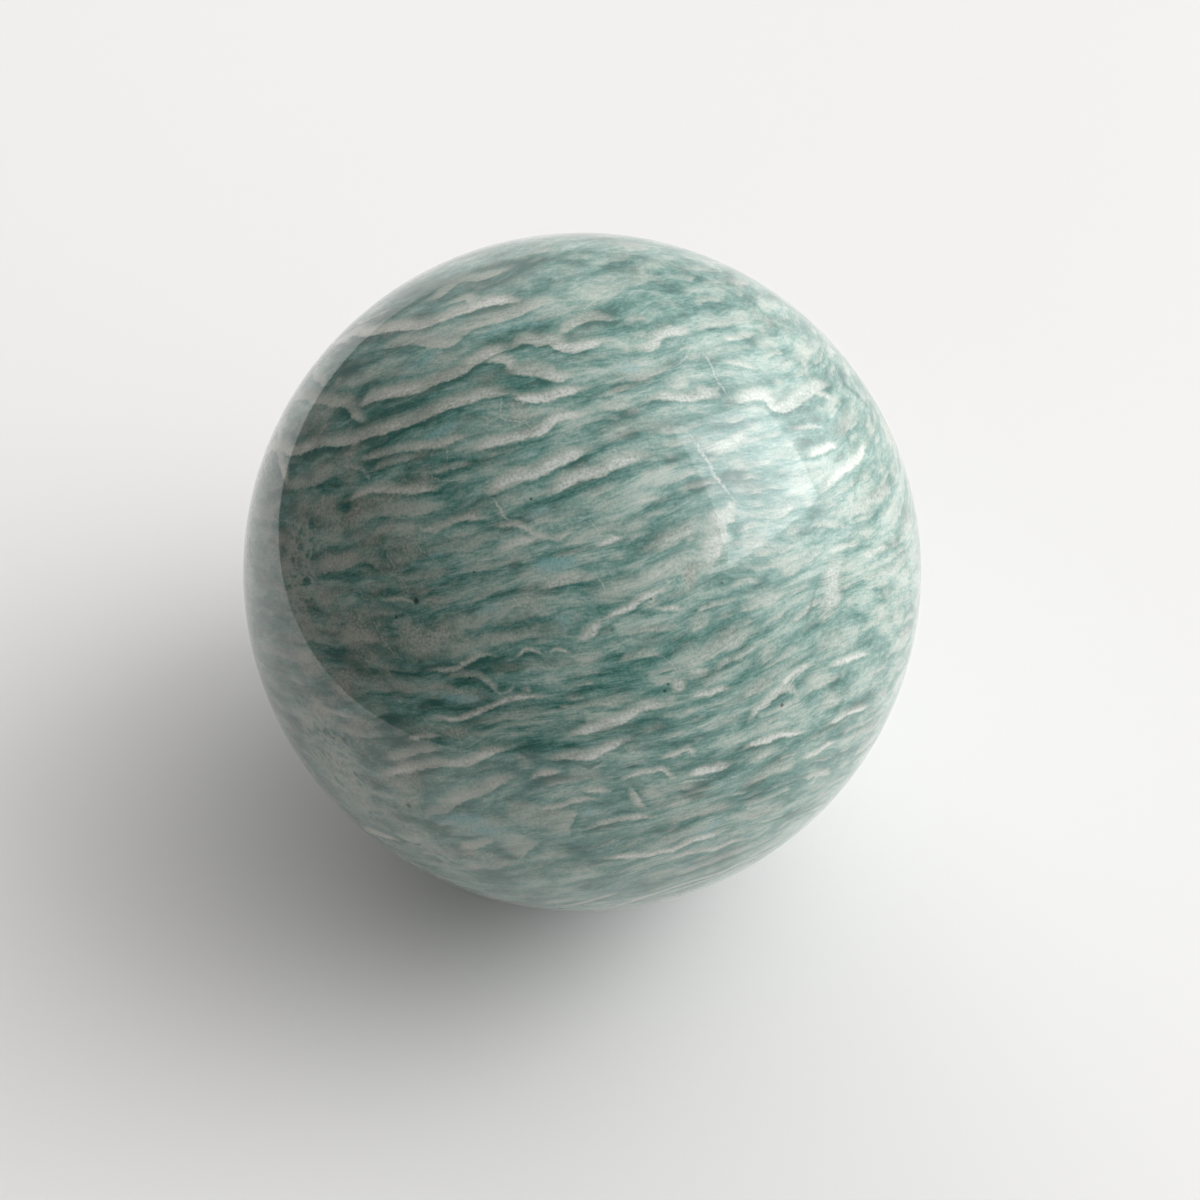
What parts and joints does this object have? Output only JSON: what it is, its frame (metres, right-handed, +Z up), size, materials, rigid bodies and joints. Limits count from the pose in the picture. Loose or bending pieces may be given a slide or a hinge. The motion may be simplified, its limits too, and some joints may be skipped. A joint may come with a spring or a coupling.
{
  "type": "polished amazonite sphere",
  "caption": "Glossy ball of streaked blue-green amazonite, ground and polished, with a small flat spot underneath so that it rests without rolling.",
  "frame": {"origin": "centre of the small flat spot that the ball rests on, its lowest point", "axes": "+Z up, along the ball's axis of symmetry through the flat spot; +Y away from the viewer of the pictured side"},
  "size_m": [0.08, 0.08, 0.0794],
  "materials": {
    "amazonite": "polished, glossy, with pale grey streaks flush in blue-green stone"
  },
  "bodies": {
    "root": {"amazonite_sphere": "amazonite"}
  },
  "joints": []
}
